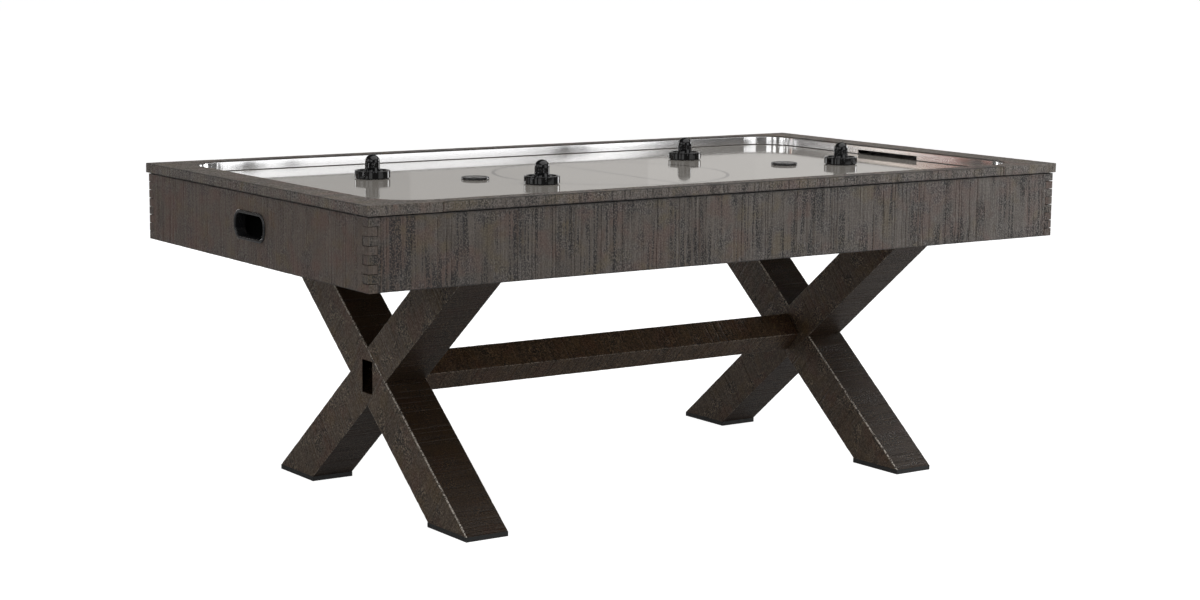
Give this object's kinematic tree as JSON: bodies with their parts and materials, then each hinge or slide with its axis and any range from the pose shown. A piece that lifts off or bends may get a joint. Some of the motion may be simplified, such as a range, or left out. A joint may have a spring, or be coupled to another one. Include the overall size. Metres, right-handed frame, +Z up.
{
  "type": "air hockey table",
  "caption": "Air hockey table with a weathered wood cabinet on crossed trestle legs, aluminium rebound walls, goal slots with return ports, loose pushers and pucks.",
  "frame": {"origin": "on the floor under the middle of the table", "axes": "+X along the length, +Y across the width away from the front side, +Z up"},
  "size_m": [2.134, 1.168, 0.8658],
  "materials": {
    "weathered_wood": "rough-sawn, dark grey-brown stain with a satin lacquer",
    "panel": "raw fibreboard and pine",
    "field_laminate": "high-gloss laminate on fibreboard, drilled with small air holes",
    "polished_aluminium": "polished",
    "bezel_plastic": "moulded, semi-gloss",
    "pusher_plastic": "moulded, high gloss, felt underneath",
    "puck_plastic": "moulded, satin",
    "box_plastic": "moulded, fine texture",
    "fitting_plastic": "moulded, satin",
    "foot_rubber": "matt",
    "bolt_steel": "black-zinc plated",
    "motor_steel": "drawn steel can"
  },
  "bodies": {
    "table": {"beam_left_inner": "weathered_wood", "beam_left_outer": "weathered_wood", "beam_right_inner": "weathered_wood", "beam_right_outer": "weathered_wood", "blower_housing": "box_plastic", "blower_motor": "motor_steel", "cap_rail_back": "weathered_wood", "cap_rail_front": "weathered_wood", "cap_rail_left": "weathered_wood", "cap_rail_right": "weathered_wood", "corner_rail_left_back": "polished_aluminium", "corner_rail_left_front": "polished_aluminium", "corner_rail_right_back": "polished_aluminium", "corner_rail_right_front": "polished_aluminium", "cross_rail_left": "panel", "cross_rail_right": "panel", "end_apron_left": "weathered_wood", "end_apron_right": "weathered_wood", "foot_pad_left_back": "foot_rubber", "foot_pad_left_front": "foot_rubber", "foot_pad_right_back": "foot_rubber", "foot_pad_right_front": "foot_rubber", "goal_box_left": "box_plastic", "goal_box_right": "box_plastic", "goal_plate_left": "polished_aluminium", "goal_plate_right": "polished_aluminium", "leg_bolt_left_back": "bolt_steel", "leg_bolt_left_front": "bolt_steel", "leg_bolt_right_back": "bolt_steel", "leg_bolt_right_front": "bolt_steel", "leg_top_rail_left": "weathered_wood", "leg_top_rail_right": "weathered_wood", "playfield": "field_laminate", "plenum_batten_back": "panel", "plenum_batten_front": "panel", "plenum_batten_left": "panel", "plenum_batten_right": "panel", "plenum_floor": "panel", "power_box": "box_plastic", "power_inlet": "fitting_plastic", "return_bezel_left": "bezel_plastic", "return_bezel_right": "bezel_plastic", "side_apron_back": "weathered_wood", "side_apron_front": "weathered_wood", "stretcher": "weathered_wood", "stretcher_bolt_left_lower": "bolt_steel", "stretcher_bolt_left_upper": "bolt_steel", "stretcher_bolt_right_lower": "bolt_steel", "stretcher_bolt_right_upper": "bolt_steel", "wall_rail_back": "polished_aluminium", "wall_rail_front": "polished_aluminium"},
    "pusher_1": {"pusher_1": "pusher_plastic"},
    "pusher_2": {"pusher_2": "pusher_plastic"},
    "pusher_3": {"pusher_3": "pusher_plastic"},
    "pusher_4": {"pusher_4": "pusher_plastic"},
    "puck_1": {"puck_1": "puck_plastic"},
    "puck_2": {"puck_2": "puck_plastic"},
    "impeller": {"blower_impeller": "fitting_plastic"},
    "rocker": {"power_rocker": "fitting_plastic"}
  },
  "joints": [
    {"name": "pusher_1_slide", "type": "slide", "parent": "table", "child": "pusher_1", "axis": [1, 0, 0], "range_m": [-0.3055, 0.5645]},
    {"name": "pusher_2_slide", "type": "slide", "parent": "table", "child": "pusher_2", "axis": [1, 0, 0], "range_m": [-0.61, 0.26]},
    {"name": "pusher_3_slide", "type": "slide", "parent": "table", "child": "pusher_3", "axis": [1, 0, 0], "range_m": [-0.3655, 0.5045]},
    {"name": "pusher_4_slide", "type": "slide", "parent": "table", "child": "pusher_4", "axis": [0, 1, 0], "range_m": [-0.3795, 0.5765]},
    {"name": "puck_1_slide", "type": "slide", "parent": "table", "child": "puck_1", "axis": [0, 1, 0], "range_m": [-0.521, 0.455]},
    {"name": "puck_2_slide", "type": "slide", "parent": "table", "child": "puck_2", "axis": [0, 1, 0], "range_m": [-0.4515, 0.5245]},
    {"name": "impeller_spin", "type": "hinge", "parent": "table", "child": "impeller", "pos_m": [0, 0, 0.726], "axis": [0, 0, 1], "continuous": true},
    {"name": "rocker_tilt", "type": "hinge", "parent": "table", "child": "rocker", "pos_m": [0.332, 0.5, 0.702], "axis": [0, 1, 0], "range_deg": [0, 24]}
  ]
}
